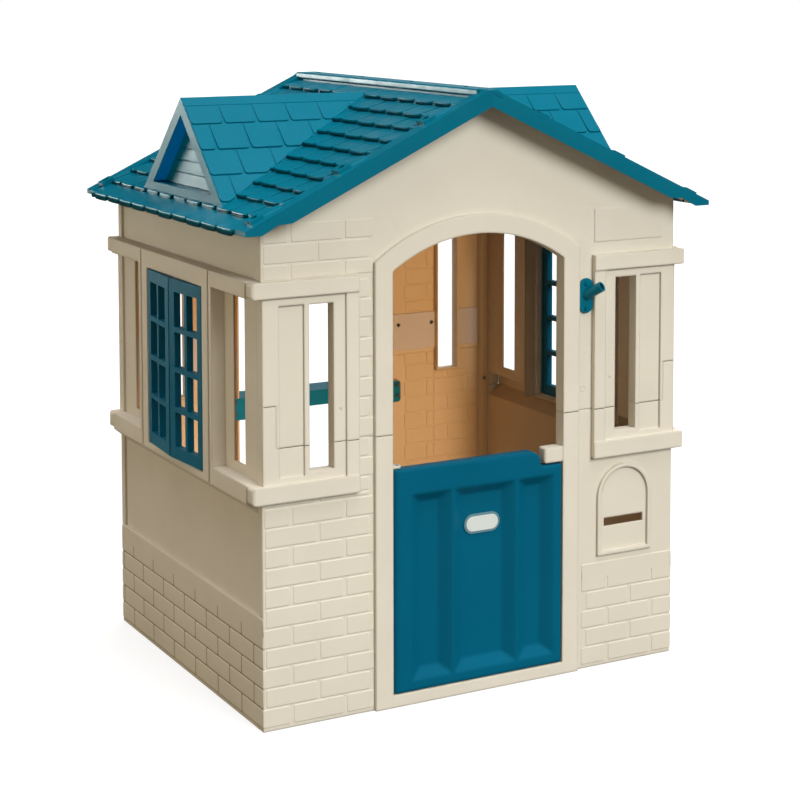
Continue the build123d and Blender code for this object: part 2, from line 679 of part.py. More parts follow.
# ---------------------------------------------------------------- flag holder
with BuildPart() as flag_holder:
    with BuildSketch(FRONT):
        with Locations((FLAG_X, FLAG_Z)):
            SlotOverall(*FLAG_PLATE, rotation=90)
    extrude(amount=FLAG_PLATE_T)
    tube_place = Location((FLAG_X, -HALF_D, FLAG_Z)) * Location((0, 0, 0), (0, FLAG_TURN, 0))
    tube_place = tube_place * Location((0, 0, 0), (90 - FLAG_LEAN, 0, 0))
    with Locations(tube_place):
        Cylinder(FLAG_TUBE_R, FLAG_TUBE_L, align=FROM_BASE)
    block((FLAG_X - 60, FLAG_X + 60), (-HALF_D, -HALF_D + 60), (FLAG_Z - 60, FLAG_Z + 60), Mode.SUBTRACT)
    with Locations(tube_place * Location((0, 0, FLAG_TUBE_L))):
        Cylinder(FLAG_BORE_R, FLAG_TUBE_L - 16, align=FROM_TOP, mode=Mode.SUBTRACT)
    drill(FLAG_PLACES)


# ---------------------------------------------------------------- write the nodes
for built, node in (
    (front_wall_lower, "front_wall_lower"),
    (front_wall_upper, "front_wall_upper"),
    (back_wall_lower, "back_wall_lower"),
    (back_wall_upper, "back_wall_upper"),
    (left_wall, "left_wall"),
    (right_wall, "right_wall"),
    (roof_left, "roof_left"),
    (roof_right, "roof_right"),
    (front_door, "front_door"),
    (door_badge, "door_badge"),
    (counter_bar, "counter_bar"),
    (flag_holder, "flag_holder"),
):
    save(built.part, node)

for places, node in (
    (seam_places(0), "front_seam_screws"),
    (seam_places(180), "back_seam_screws"),
    (corner_places(0), "front_corner_screws"),
    (corner_places(180), "back_corner_screws"),
    (roof_places(-1), "roof_left_screws"),
    (roof_places(1), "roof_right_screws"),
    (RIDGE_PLACES, "ridge_screws"),
    (COUNTER_PLACES, "counter_screws"),
    (FLAG_PLACES, "flag_holder_screws"),
):
    save(screw_group(places), node)
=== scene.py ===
"""Looks of the plastic playhouse: soft moulded edges, brick and shingle relief, plastic materials."""
import math

import bmesh
import bpy
from mathutils import Matrix, Vector


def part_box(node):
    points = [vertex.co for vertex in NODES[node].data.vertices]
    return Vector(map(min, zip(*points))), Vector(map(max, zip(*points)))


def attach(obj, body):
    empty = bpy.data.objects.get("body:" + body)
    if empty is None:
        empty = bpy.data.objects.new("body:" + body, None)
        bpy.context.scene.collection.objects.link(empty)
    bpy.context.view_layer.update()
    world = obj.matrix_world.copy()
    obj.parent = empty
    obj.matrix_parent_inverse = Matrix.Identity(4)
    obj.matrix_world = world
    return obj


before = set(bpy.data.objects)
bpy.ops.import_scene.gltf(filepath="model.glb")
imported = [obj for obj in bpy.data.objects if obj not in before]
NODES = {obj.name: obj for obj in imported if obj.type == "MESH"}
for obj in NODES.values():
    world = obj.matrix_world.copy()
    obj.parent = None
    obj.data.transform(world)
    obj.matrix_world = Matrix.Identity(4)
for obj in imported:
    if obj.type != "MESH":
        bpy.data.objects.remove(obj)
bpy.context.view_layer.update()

# ---------------------------------------------------------------- sizes of the frame, in metres
ROOF_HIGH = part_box("roof_right")[1]
BADGE_LOW, BADGE_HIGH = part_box("door_badge")

CORNER_X = 0.495  # outer face of a side corner and of a side plinth
FACE_Y = 0.392  # outer face of an end wall
INNER_Y = 0.388  # inner face of an end wall
JAMB_DEPTH = 0.023  # depth of the lining of a front opening
CASING = 0.246  # outer edge of the doorway casing
STILE = 0.283  # doorway side of a window frame
FRAME_Z = (0.462, 0.903)  # foot and top of a window frame
PLINTH_Z = 0.231  # top of the plinth
GABLE_FOOT = 1.016
BED_TOP = 1.260  # where the beds of the two roof slopes meet
SLOPE = 0.4709  # fall of the roof per unit of x
LAP = 0.010  # height of the step between two rows of shingles
EAVE_X = ROOF_HIGH.x
ROW_PITCH = 0.0485
ROWS = 11
CAP_HALF = 0.024  # half width of the ridge
RAKE_IN = 0.410  # where the shingles end at the front and at the back
POCKET_X = (0.131, 0.322, 0.511)  # screw pockets along each end of a slope
POCKET_HALF = 0.015
DORMER_X = (0.062, 0.499)  # |x| where a dormer starts and ends
DORMER_TOP = 1.243
DORMER_SLOPE = 0.967  # fall of a dormer's roof per unit of y
RECESS_TOP = 1.207
RECESS_FOOT = 1.051
RECESS_X = 0.469  # sunk panel at the end of a dormer
STRETCH = math.hypot(1, SLOPE)  # length down the slope per unit of x
DORMER_STRETCH = math.hypot(1, DORMER_SLOPE)


# ---------------------------------------------------------------- materials
def node(tree, kind, **values):
    """Adds a node. Each value sets the property of that name or, failing that, the input."""
    made = tree.nodes.new(kind)
    for key, value in values.items():
        if hasattr(made, key):
            setattr(made, key, value)
        else:
            made.inputs[key.replace("_", " ")].default_value = value
    return made


def noise(tree, scale, detail=3.0, roughness=0.55):
    coord = node(tree, "ShaderNodeNewGeometry")
    made = node(tree, "ShaderNodeTexNoise", Scale=scale, Detail=detail, Roughness=roughness)
    tree.links.new(coord.outputs["Position"], made.inputs["Vector"])
    return made.outputs["Fac"]


def ramp(tree, value, low, high, start=0.3, stop=0.7):
    """Maps a value between start and stop to a value between low and high."""
    made = node(tree, "ShaderNodeMapRange")
    made.inputs["From Min"].default_value = start
    made.inputs["From Max"].default_value = stop
    made.inputs["To Min"].default_value = low
    made.inputs["To Max"].default_value = high
    tree.links.new(value, made.inputs["Value"])
    return made.outputs["Result"]


def mix_colour(tree, factor, first, second):
    made = node(tree, "ShaderNodeMix", data_type="RGBA")
    tree.links.new(factor, made.inputs[0])
    for socket, value in ((made.inputs[6], first), (made.inputs[7], second)):
        if isinstance(value, tuple):
            socket.default_value = (*value, 1.0)
        else:
            tree.links.new(value, socket)
    return made.outputs[2]


def maths(tree, operation, first, second):
    made = node(tree, "ShaderNodeMath", operation=operation)
    for socket, value in zip(made.inputs, (first, second)):
        if isinstance(value, float):
            socket.default_value = value
        else:
            tree.links.new(value, socket)
    return made.outputs[0]


SIDE_SKIN = 0.0063  # from a side corner to just behind the skin of a side wall
SKIN_CLEAR = 0.0007


def inside_the_house(tree):
    """1 on the surfaces behind the outer skins, 0 outside and on the lining of the front openings: the mask
    of the painted indoor shade.
    """
    point = node(tree, "ShaderNodeNewGeometry")
    place = node(tree, "ShaderNodeSeparateXYZ")
    tree.links.new(point.outputs["Position"], place.inputs[0])
    normal = node(tree, "ShaderNodeSeparateXYZ")
    tree.links.new(point.outputs["True Normal"], normal.inputs[0])
    x = place.outputs["X"]
    y = place.outputs["Y"]
    within = maths(tree, "LESS_THAN", maths(tree, "ABSOLUTE", x, 0.0), CORNER_X - SIDE_SKIN)
    facing_in = maths(tree, "LESS_THAN", maths(tree, "MULTIPLY", x, normal.outputs["X"]), -0.1)
    across = maths(tree, "MAXIMUM", within, facing_in)
    behind_front = maths(tree, "GREATER_THAN", y, JAMB_DEPTH - FACE_Y)
    before_back = maths(tree, "LESS_THAN", y, INNER_Y + SKIN_CLEAR)
    return maths(tree, "MULTIPLY", across, maths(tree, "MULTIPLY", behind_front, before_back))


def moulded_plastic(name, colour, worn, roughness, gloss, indoors=None, soft=0.0):
    """Moulded polyethylene: mottled colour, uneven gloss, pale rubbed edges, fine orange-peel skin.

    The shading of its edges may be softened over a distance. Surfaces inside the house may take a painted
    shade: a warmer, darker colour that stands in for the dim orange light indoors."""
    material = bpy.data.materials.new(name)
    material.use_nodes = True
    tree = material.node_tree
    shader = tree.nodes["Principled BSDF"]
    darker = tuple(channel * 0.94 for channel in colour)
    base = mix_colour(tree, ramp(tree, noise(tree, 5.0), 0.0, 1.0), darker, colour)
    # painted shade: behind the outer skins the colour turns warmer and darker, standing in for the dim orange
    # light indoors
    if indoors:
        base = mix_colour(tree, inside_the_house(tree), base, indoors)
    point = node(tree, "ShaderNodeNewGeometry")
    edge = ramp(tree, point.outputs["Pointiness"], 0.0, 0.22, 0.56, 0.70)
    scuffs = node(tree, "ShaderNodeMath", operation="MULTIPLY")
    tree.links.new(edge, scuffs.inputs[0])
    tree.links.new(ramp(tree, noise(tree, 60.0, 5.0), 0.3, 1.0), scuffs.inputs[1])
    base = mix_colour(tree, scuffs.outputs[0], base, worn)
    tree.links.new(base, shader.inputs["Base Color"])
    polish = ramp(tree, noise(tree, 22.0, 4.0), roughness - 0.05, roughness + 0.08)
    tree.links.new(polish, shader.inputs["Roughness"])
    skin = node(tree, "ShaderNodeBump", Strength=0.14, Distance=0.0006)
    tree.links.new(noise(tree, 420.0, 2.0), skin.inputs["Height"])
    waves = node(tree, "ShaderNodeBump", Strength=0.22, Distance=0.004)
    tree.links.new(noise(tree, 7.0, 1.0), waves.inputs["Height"])
    tree.links.new(waves.outputs["Normal"], skin.inputs["Normal"])
    if soft:
        rounding = node(tree, "ShaderNodeBevel", samples=4, Radius=soft)
        tree.links.new(rounding.outputs["Normal"], waves.inputs["Normal"])
    tree.links.new(skin.outputs["Normal"], shader.inputs["Normal"])
    shader.inputs["Specular IOR Level"].default_value = gloss
    return material


def zinc(name):
    material = bpy.data.materials.new(name)
    material.use_nodes = True
    tree = material.node_tree
    shader = tree.nodes["Principled BSDF"]
    shader.inputs["Metallic"].default_value = 0.9
    tone = mix_colour(tree, ramp(tree, noise(tree, 300.0), 0.0, 1.0), (0.22, 0.21, 0.19), (0.36, 0.35, 0.33))
    tree.links.new(tone, shader.inputs["Base Color"])
    tree.links.new(ramp(tree, noise(tree, 900.0), 0.28, 0.5), shader.inputs["Roughness"])
    return material


WALL = (0.70, 0.645, 0.545)
WALL_WORN = (0.80, 0.76, 0.68)
# painted shade: the wall colour as it looks in the dim orange light inside the house
WALL_PAINTED_INDOOR_SHADE = (0.60, 0.425, 0.27)
DEEP_BLUE = (0.0006, 0.108, 0.190)
DEEP_BLUE_WORN = (0.03, 0.22, 0.30)

BEIGE = moulded_plastic("beige_plastic", WALL, WALL_WORN, 0.50, 0.12, WALL_PAINTED_INDOOR_SHADE, soft=0.006)
BRICK = moulded_plastic("brick_plastic", WALL, WALL_WORN, 0.50, 0.12, WALL_PAINTED_INDOOR_SHADE)
BAND = moulded_plastic("band_plastic", (0.56, 0.47, 0.44), (0.62, 0.54, 0.52), 0.50, 0.12)
TEAL = moulded_plastic("teal_plastic", (0.0002, 0.135, 0.208), (0.006, 0.20, 0.30), 0.34, 0.36)
NAVY = moulded_plastic("deep_blue_plastic", DEEP_BLUE, DEEP_BLUE_WORN, 0.40, 0.16)
DOOR = moulded_plastic("door_plastic", DEEP_BLUE, DEEP_BLUE_WORN, 0.40, 0.16, soft=0.011)
SEAM = moulded_plastic("seam_shadow", (0.10, 0.065, 0.035), (0.15, 0.10, 0.06), 0.60, 0.05)
# painted shade: dark backing for the joints of the side plinths, where shade falls
PLINTH_JOINT_SHADE = moulded_plastic("painted_joint_shade", (0.34, 0.29, 0.22), (0.40, 0.35, 0.28), 0.60, 0.05)
# painted shadow: dark teal for strips laid in the gaps between shingles, where shade falls
GAP_SHADE = moulded_plastic("teal_painted_gap_shade", (0.0002, 0.030, 0.050), (0.001, 0.05, 0.08), 0.55, 0.05)
# painted shade: dark teal for the screws in the roof's pockets, standing in for the dark holes they sit in
POCKET_SHADE = moulded_plastic("painted_pocket_shade", (0.001, 0.040, 0.065), (0.01, 0.07, 0.10), 0.50, 0.2)
PALE = moulded_plastic("badge_plastic", (0.66, 0.70, 0.68), (0.75, 0.78, 0.76), 0.30, 0.4)
BORDER = moulded_plastic("badge_border_plastic", (0.13, 0.25, 0.30), (0.30, 0.42, 0.46), 0.30, 0.4)
ZINC = zinc("zinc_plate")
# painted light: the dormer jambs sit in shade, so they get a brighter teal and a faint blue glow that stands
# in for daylight through the thin skin
JAMB_PAINTED_LIGHT = moulded_plastic("teal_painted_lit_jamb", (0.0002, 0.16, 0.34), (0.001, 0.20, 0.40), 0.45, 0.1)
PAINTED_JAMB_GLOW = JAMB_PAINTED_LIGHT.node_tree.nodes["Principled BSDF"]  # daylight that comes through the thin skin
PAINTED_JAMB_GLOW.inputs["Emission Color"].default_value = (0.0, 0.25, 0.75, 1)
PAINTED_JAMB_GLOW.inputs["Emission Strength"].default_value = 0.16


# ---------------------------------------------------------------- mesh helpers
class Face:
    """A flat working face: origin, a direction along it, a direction up it and its outward normal."""

    def __init__(self, origin, along, up):
        self.origin = Vector(origin)
        self.along = Vector(along).normalized()
        self.up = Vector(up).normalized()
        self.out = self.along.cross(self.up)

    def point(self, u, v, height):
        return self.origin + self.along * u + self.up * v + self.out * height


def rectangle(span_u, span_v, low_round=0.0, high_round=0.0, bow=0.0, steps=3):
    """Outline of a rectangle. Its lower and upper corners may be round, and its lower edge may bow out."""
    corners = (
        (span_u[1], span_v[1], high_round, 0),
        (span_u[0], span_v[1], high_round, 1),
        (span_u[0], span_v[0], low_round, 2),
        (span_u[1], span_v[0], low_round, 3),
    )
    points = []
    for u, v, radius, quarter in corners:
        if quarter == 3 and bow:
            points.append(Vector(((span_u[0] + span_u[1]) / 2, v - bow)))
        if not radius:
            points.append(Vector((u, v)))
            continue
        centre_u = u - radius if quarter in (0, 3) else u + radius
        centre_v = v - radius if quarter < 2 else v + radius
        centre = Vector((centre_u, centre_v))
        for step in range(steps + 1):
            angle = (quarter + step / steps) * math.pi / 2
            points.append(centre + radius * Vector((math.cos(angle), math.sin(angle))))
    return points


def clip(points, normal, limit):
    """The part of a convex outline where normal . point is below a limit."""
    normal = Vector(normal)
    kept = []
    for here, there in zip(points, points[1:] + points[:1]):
        room_here = limit - normal.dot(here)
        room_there = limit - normal.dot(there)
        if room_here >= 0:
            kept.append(here)
        if room_here * room_there < 0:
            kept.append(here.lerp(there, room_here / (room_here - room_there)))
    return kept


def area(points):
    """Area of an outline, negative if it runs clockwise."""
    return sum(a.x * b.y - a.y * b.x for a, b in zip(points, points[1:] + points[:1])) / 2


def pulled_in(points, distance):
    """A convex counter-clockwise outline, moved inwards."""
    moved = []
    for i, point in enumerate(points):
        before = (point - points[i - 1]).normalized()
        after = (points[(i + 1) % len(points)] - point).normalized()
        inward = Vector((-before.y - after.y, before.x + after.x))
        moved.append(point + inward * (distance / max(1 + before.dot(after), 0.3)))
    return moved


SMALLEST = 0.000008  # smallest pad worth making, in square metres
NEAR = 0.0004  # points closer than this are one


def add_slab(bm, face, outline, height, edge, lift=None, lean=0.0, bury=0.0008):
    """A closed raised pad with a rolled edge over a convex outline.

    Its top may slope, by lift(v), and its sides may lean downhill by lean times their height."""
    points = [p for i, p in enumerate(outline) if (p - outline[i - 1]).length > NEAR]
    if len(points) < 3 or abs(area(points)) < SMALLEST:
        return
    if area(points) < 0:
        points.reverse()
    rings = []
    for inset, level in ((0.0, -bury), (0.0, 0.25 * height), (0.3 * edge, 0.75 * height), (edge, height)):
        ring = []
        for point in pulled_in(points, inset):
            rise = lift(point.y) if lift and level > 0 else 0.0
            sunk = height + (lift(point.y) if lift else 0.0) - level - rise
            ring.append(bm.verts.new(face.point(point.x, point.y - lean * sunk, level + rise)))
        rings.append(ring)
    count = len(points)
    for lower, upper in zip(rings, rings[1:]):
        for i in range(count):
            bm.faces.new((lower[i], lower[(i + 1) % count], upper[(i + 1) % count], upper[i]))
    bm.faces.new(rings[-1])
    bm.faces.new(list(reversed(rings[0])))


def add_ring(bm, face, u, v, radius, height=0.0007, width=0.0012, steps=24):
    """A fine raised ring, such as the mark of a moulding pin."""
    half = 0.5 * height
    profile = ((width, -height), (width, half), (0.0, height), (-width, half), (-width, -height))
    loops = []
    for grow, level in profile:
        loop = []
        for step in range(steps):
            angle = 2 * math.pi * step / steps
            reach = radius + grow
            place = face.point(u + reach * math.cos(angle), v + reach * math.sin(angle), level)
            loop.append(bm.verts.new(place))
        loops.append(loop)
    for outer, inner in zip(loops, loops[1:] + loops[:1]):
        for i in range(steps):
            bm.faces.new((outer[i], outer[(i + 1) % steps], inner[(i + 1) % steps], inner[i]))


def finish_piece(name, bm, material, body="house"):
    """Turns a bmesh into a smooth-shaded piece that rides on a body."""
    bmesh.ops.recalc_face_normals(bm, faces=bm.faces)
    mesh = bpy.data.meshes.new(name)
    bm.to_mesh(mesh)
    bm.free()
    mesh.materials.append(material)
    mesh.shade_smooth()
    piece = bpy.data.objects.new(name, mesh)
    bpy.context.scene.collection.objects.link(piece)
    weighted = piece.modifiers.new("even_shading", "WEIGHTED_NORMAL")
    weighted.weight = 80
    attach(piece, body)
    return piece


def soften(name, material, width, segments=2, flatten=True):
    """Rolls the hard edges of a CAD node and gives it its material."""
    thing = NODES[name]
    thing.data.materials.clear()
    thing.data.materials.append(material)
    weld = thing.modifiers.new("join", "WELD")
    weld.merge_threshold = 0.00002
    if flatten:
        flat = thing.modifiers.new("flat_faces", "DECIMATE")
        flat.decimate_type = "DISSOLVE"
        flat.angle_limit = math.radians(0.5)
    bevel = thing.modifiers.new("rolled_edges", "BEVEL")
    bevel.width = width
    bevel.segments = segments
    bevel.limit_method = "ANGLE"
    bevel.angle_limit = math.radians(28)
    weighted = thing.modifiers.new("even_shading", "WEIGHTED_NORMAL")
    weighted.weight = 80


# ---------------------------------------------------------------- brickwork
COURSE = 0.0404  # height of a course
COURSE_FOOT = 0.0065  # height where the first course starts
PLAIN_COURSES = 4  # courses of a plinth below its cap course
PLAIN_SPAN = (COURSE_FOOT, PLAIN_COURSES * COURSE + COURSE_FOOT)
CAP_JOINT = 0.65  # part of the cap course that its joints cut
UPRIGHT_GAP = 0.008
NARROW_GAP = 0.004  # upright gap in a plinth
LEVEL_GAP = 0.003
BRICK_RISE = 0.0012
BRICK_EDGE = 0.0028
BRICK_CORNER = 0.004
SHORTEST = 0.008  # shortest and lowest piece of a brick worth making
# painted shade: the dark backing stands in for the shade in a side plinth's joints
JOINT_RISE = 0.0003  # dark backing that shows in the joints of a side plinth
MARGIN = 0.0015  # between brickwork and a raised frame

LEFT_JOINT = -0.3132  # place of an upright joint on the left part of an end wall
LEFT_LENGTH = 0.1195
RIGHT_JOINT = 0.326
RIGHT_LENGTH = 0.1166
SIDE_JOINT = -0.0444
SIDE_LENGTH = 0.1213
RIGHT_INSET = 0.012  # bare strip between the casing and the right-hand bricks
PIN_MARKS = (-0.430, -0.2608, 0.2608, 0.430)  # rings left by moulding pins
PIN_MARK_Z = 0.617
PIN_MARK_R = 0.0065
INDOOR_JOINT = 0.250
INDOOR_RISE = 0.0020
INDOOR_SPANS = (  # |x| and height of the brickwork on the inner face of the back wall
    ((0.250, 0.334), (0.004, 0.566)),
    ((0.250, 0.334), (0.666, 0.960)),
    ((0.334, 0.458), (0.004, 0.508)),
)


def lay_bricks(bm, face, span_u, span_v, joint, length=LEFT_LENGTH, rise=BRICK_RISE, gap=UPRIGHT_GAP):
    """Staggered courses of raised bricks that fill a rectangle. An even course has a joint at the given u."""
    first = math.floor((span_v[0] - COURSE_FOOT) / COURSE + 0.2)
    course = max(first, 0)
    while COURSE_FOOT + course * COURSE < span_v[1] - 0.006:
        low = COURSE_FOOT + course * COURSE
        bottom = max(low + LEVEL_GAP / 2, span_v[0])
        top = min(low + COURSE - LEVEL_GAP / 2, span_v[1])
        shift = joint + (length / 2 if course % 2 else 0.0)
        start = shift + math.floor((span_u[0] - shift) / length) * length
        while start < span_u[1]:
            left = max(start + gap / 2, span_u[0])
            right = min(start + length - gap / 2, span_u[1])
            if right - left > SHORTEST and top - bottom > SHORTEST:
                brick = rectangle((left, right), (bottom, top), BRICK_CORNER, BRICK_CORNER)
                add_slab(bm, face, brick, rise, BRICK_EDGE)
            start += length
        course += 1


def lay_cap(bm, face, span_u, joint, length):
    """Cap course of a plinth: tall bricks whose joints stop short of the top, under a plain strip."""
    course = (PLAIN_SPAN[1], (PLAIN_COURSES + 1) * COURSE + COURSE_FOOT)
    lay_bricks(bm, face, span_u, course, joint, length, gap=NARROW_GAP)
    strip = ((PLAIN_COURSES + CAP_JOINT) * COURSE + COURSE_FOOT, PLINTH_Z - 0.001)
    add_slab(bm, face, rectangle(span_u, strip, 0.0, BRICK_CORNER), BRICK_RISE + 0.0001, BRICK_EDGE)


def end_face(sign):
    """Outer face of the front wall (sign -1) or of the back wall (sign +1)."""
    return Face((0, sign * FACE_Y, 0), (-sign, 0, 0), (0, 0, 1))


def build_bricks():
    """Brickwork on the outer faces of the end walls, and on the inner face of the back wall."""
    inner = CASING + MARGIN
    corner = CORNER_X - 0.005
    wrapped = CORNER_X + BRICK_RISE
    split = (PLAIN_COURSES + 1) * COURSE + COURSE_FOOT  # below it the bricks reach around the corner
    for name, sign in (("front", -1), ("back", 1)):
        bm = bmesh.new()
        wall = end_face(sign)
        lay_bricks(bm, wall, (-wrapped, -inner), (COURSE_FOOT, split), LEFT_JOINT)
        lay_bricks(bm, wall, (-corner, -inner), (split, FRAME_Z[0] - MARGIN), LEFT_JOINT)
        lay_bricks(bm, wall, (-STILE + MARGIN, -inner), FRAME_Z, LEFT_JOINT)
        lay_bricks(bm, wall, (-corner, -inner), (FRAME_Z[1] + 0.002, GABLE_FOOT), LEFT_JOINT)
        right = (inner + RIGHT_INSET, wrapped)
        lay_bricks(bm, wall, right, PLAIN_SPAN, RIGHT_JOINT, RIGHT_LENGTH)
        lay_cap(bm, wall, right, RIGHT_JOINT, RIGHT_LENGTH)
        for mark in PIN_MARKS:
            add_ring(bm, wall, mark, PIN_MARK_Z, PIN_MARK_R)
        finish_piece(f"{name}_bricks", bm, BRICK)
    bm = bmesh.new()
    wall = Face((0, INNER_Y, 0), (1, 0, 0), (0, 0, 1))
    for side in (-1, 1):
        for (near, far), span_v in INDOOR_SPANS:
            span = tuple(sorted((side * near, side * far)))
            lay_bricks(bm, wall, span, span_v, side * INDOOR_JOINT, rise=INDOOR_RISE)
    finish_piece("indoor_bricks", bm, BRICK)


SEAM_Z = 0.570
SEAM_CORNER_Z = 0.656
SEAM_H = 0.0011
SEAM_RISE = 0.00025
SEAM_RUNS = (  # inner and outer |x|, height and distance in front of the wall's face
    (0.2075, 0.2445, SEAM_Z, 0.008),
    (0.2845, 0.3105, SEAM_Z, 0.010),
    (0.3140, 0.3375, SEAM_Z, 0.006),
    (0.3945, 0.4030, SEAM_Z, 0.006),
    (0.4055, 0.4575, SEAM_Z, 0.002),
    (0.4670, 0.4930, SEAM_CORNER_Z, 0.006),
)


def build_seams():
    """Hairline shadow where the halves of the front and back walls meet."""
    bm = bmesh.new()
    for sign in (-1, 1):
        for side in (-1, 1):
            for low, high, z, proud in SEAM_RUNS:
                face = Face((0, sign * (FACE_Y + proud), 0), (-sign, 0, 0), (0, 0, 1))
                span = tuple(sorted((side * low, side * high)))
                add_slab(bm, face, rectangle(span, (z - SEAM_H / 2, z + SEAM_H / 2)), SEAM_RISE, 0.0001)
    finish_piece("wall_seams", bm, SEAM)


TONGUE_T = 0.004  # lap of the two halves, on the inner face
BAND_X = ((0.208, 0.3365), (0.3955, 0.4605))  # |x| of the band on both sides of a slot
BAND_Z = (0.571, 0.662)
BAND_CORNER = 0.004
BAND_RISE = 0.0012


def build_band():
    """Smooth strip over the joint of the back wall's halves, indoors, on both sides of the slots."""
    bm = bmesh.new()
    wall = Face((0, INNER_Y - TONGUE_T, 0), (1, 0, 0), (0, 0, 1))
    for side in (-1, 1):
        for low, high in BAND_X:
            span = tuple(sorted((side * low, side * high)))
            strip = rectangle(span, BAND_Z, BAND_CORNER, BAND_CORNER)
            add_slab(bm, wall, strip, BAND_RISE, BAND_RISE)
    finish_piece("overlap_band", bm, BAND)


def build_plinth():
    """Cap course, four brick courses and a dark backing of painted shade in their joints, along the foot of
    each side wall.
    """
    for name, sign in (("left", -1), ("right", 1)):
        bm = bmesh.new()
        face = Face((sign * CORNER_X, 0, 0), (0, sign, 0), (0, 0, 1))
        span = (-FACE_Y - BRICK_RISE, FACE_Y + BRICK_RISE)
        joint = SIDE_JOINT * sign
        lay_bricks(bm, face, span, PLAIN_SPAN, joint, SIDE_LENGTH, gap=NARROW_GAP)
        lay_cap(bm, face, span, joint, SIDE_LENGTH)
        finish_piece(f"{name}_plinth_bricks", bm, BRICK)
        # painted shade behind the joints of the plinth
        joints = bmesh.new()
        back = rectangle((span[0] + 0.004, span[1] - 0.004), (COURSE_FOOT, PLINTH_Z - 0.006))
        add_slab(joints, face, back, JOINT_RISE, 0.0002)
        finish_piece(f"{name}_plinth_joints", joints, PLINTH_JOINT_SHADE)


# ---------------------------------------------------------------- roof
SHINGLE_W = 0.077
SHINGLE_GAP = 0.0042
SHINGLE_RISE = 0.0022
SHINGLE_EDGE = 0.0016
SHINGLE_COLUMNS = 16
NARROWEST = 0.012  # narrowest piece of a shingle
GROOVE_RISE = 0.0014
GROOVE_EDGE = 0.0004
POCKET_LENGTH = 0.050
POCKET_RISE = 0.0105
POCKET_FALL = 0.09  # rise of a boss per unit of length, towards its foot
PLUMB_ROWS = 2  # rows at the eave whose lower edges hang straight down
SHINGLE_PHASE = (0.008, 0.0445)  # place of a gap in even and in odd rows


def slope_face(side):
    """Bed of one roof slope: u runs along the ridge, v up the slope from the ridge line (negative down)."""
    return Face((0, 0, BED_TOP), (0, side, 0), (-side, 0, SLOPE))


def cut_at_dormer(outline, half):
    """The part of a shingle beside the dormer, on one half of the slope. The valley is a straight line."""
    foot = (BED_TOP + LAP - DORMER_TOP) / DORMER_SLOPE
    rate = SLOPE / DORMER_SLOPE / STRETCH
    return clip(outline, (-half, -rate), foot - 0.001)


def build_shingles(side):
    """Rows of shingles, dark strips of painted shade in the gaps between them, and the bosses of the screw
    pockets.
    """
    label = "left" if side < 0 else "right"
    bm = bmesh.new()
    gap_shades = bmesh.new()
    face = slope_face(side)
    end = RAKE_IN - 0.003
    for row in range(ROWS):
        x_low = EAVE_X - ROW_PITCH * row
        x_high = max(x_low - ROW_PITCH, CAP_HALF + 0.002)
        v_low = -x_low * STRETCH - 0.002
        v_high = -x_high * STRETCH - 0.001
        fall = (LAP - 0.0005) / STRETCH / (v_high - v_low)
        lift = lambda v: fall * (v_high - v)
        lean = SLOPE if row < PLUMB_ROWS else 0.0
        start = SHINGLE_PHASE[row % 2] - SHINGLE_COLUMNS // 2 * SHINGLE_W
        beside_dormer = DORMER_X[0] < x_low and x_high < DORMER_X[1] - 0.002
        for column in range(SHINGLE_COLUMNS):
            low = max(start + column * SHINGLE_W + SHINGLE_GAP / 2, -end)
            high = min(start + (column + 1) * SHINGLE_W - SHINGLE_GAP / 2, end)
            if high - low < NARROWEST:
                continue
            top = v_high if row else v_low + 0.014
            corner = min(0.011 if row else 0.005, (high - low) / 2.5)
            jitter = 0.0012 * math.sin(7.1 * row + 3.7 * column)
            outline = rectangle((low, high), (v_low + jitter, top), corner, 0.0, bow=0.001)
            rise = SHINGLE_RISE + 0.0004 * math.sin(2.3 * column + row)
            # a dark strip of painted shade in the gap after this shingle
            groove = rectangle((high - 0.001, high + SHINGLE_GAP + 0.001), (v_low + 0.006, top))
            if not beside_dormer:
                add_slab(bm, face, outline, rise, SHINGLE_EDGE, lift, lean)
                add_slab(gap_shades, face, groove, GROOVE_RISE, GROOVE_EDGE, lift)
                continue
            for half in (-1, 1):
                half_outline = clip(outline, (-half, 0), 0)
                add_slab(bm, face, cut_at_dormer(half_outline, half), rise, SHINGLE_EDGE, lift, lean)
                add_slab(gap_shades, face, cut_at_dormer(groove, half), GROOVE_RISE, GROOVE_EDGE, lift)
            if x_low > DORMER_X[1]:
                lip = clip(outline, (0, 1), -DORMER_X[1] * STRETCH - 0.001)
                add_slab(bm, face, lip, rise, 0.0012, lift, lean)
        if not row:
            outline = rectangle((-end, end), (v_low + 0.011, v_high))
            add_slab(bm, face, outline, SHINGLE_RISE, SHINGLE_EDGE, lift)
    for end_side in (-1, 1):
        for x in POCKET_X:
            foot = -x * STRETCH + POCKET_HALF - 0.003
            place = end_side * (RAKE_IN + 0.002)
            boss_top = foot + POCKET_LENGTH
            span = (place - POCKET_HALF, place + POCKET_HALF)
            outline = rectangle(span, (foot, boss_top), 0.002, 0.010)
            add_slab(bm, face, outline, POCKET_RISE, 0.004, lambda v: POCKET_FALL * (boss_top - v))
    finish_piece(f"roof_{label}_shingles", bm, TEAL)
    finish_piece(f"roof_{label}_grooves", gap_shades, GAP_SHADE)


RIDGE_HALF = 0.0252
RIDGE_SINK = 0.006  # of its foot below the line where the slopes meet
RIDGE_HEIGHT = 0.0145
RIDGE_REACH = RAKE_IN + 0.014


def build_ridge():
    """Flat-topped strip along the ridge, with upright sides."""
    bm = bmesh.new()
    face = Face((0, 0, BED_TOP - RIDGE_SINK), (0, 1, 0), (-1, 0, 0))
    outline = rectangle((-RIDGE_REACH, RIDGE_REACH), (-RIDGE_HALF, RIDGE_HALF))
    add_slab(bm, face, outline, RIDGE_HEIGHT, 0.0015)
    finish_piece("ridge_strip", bm, TEAL)


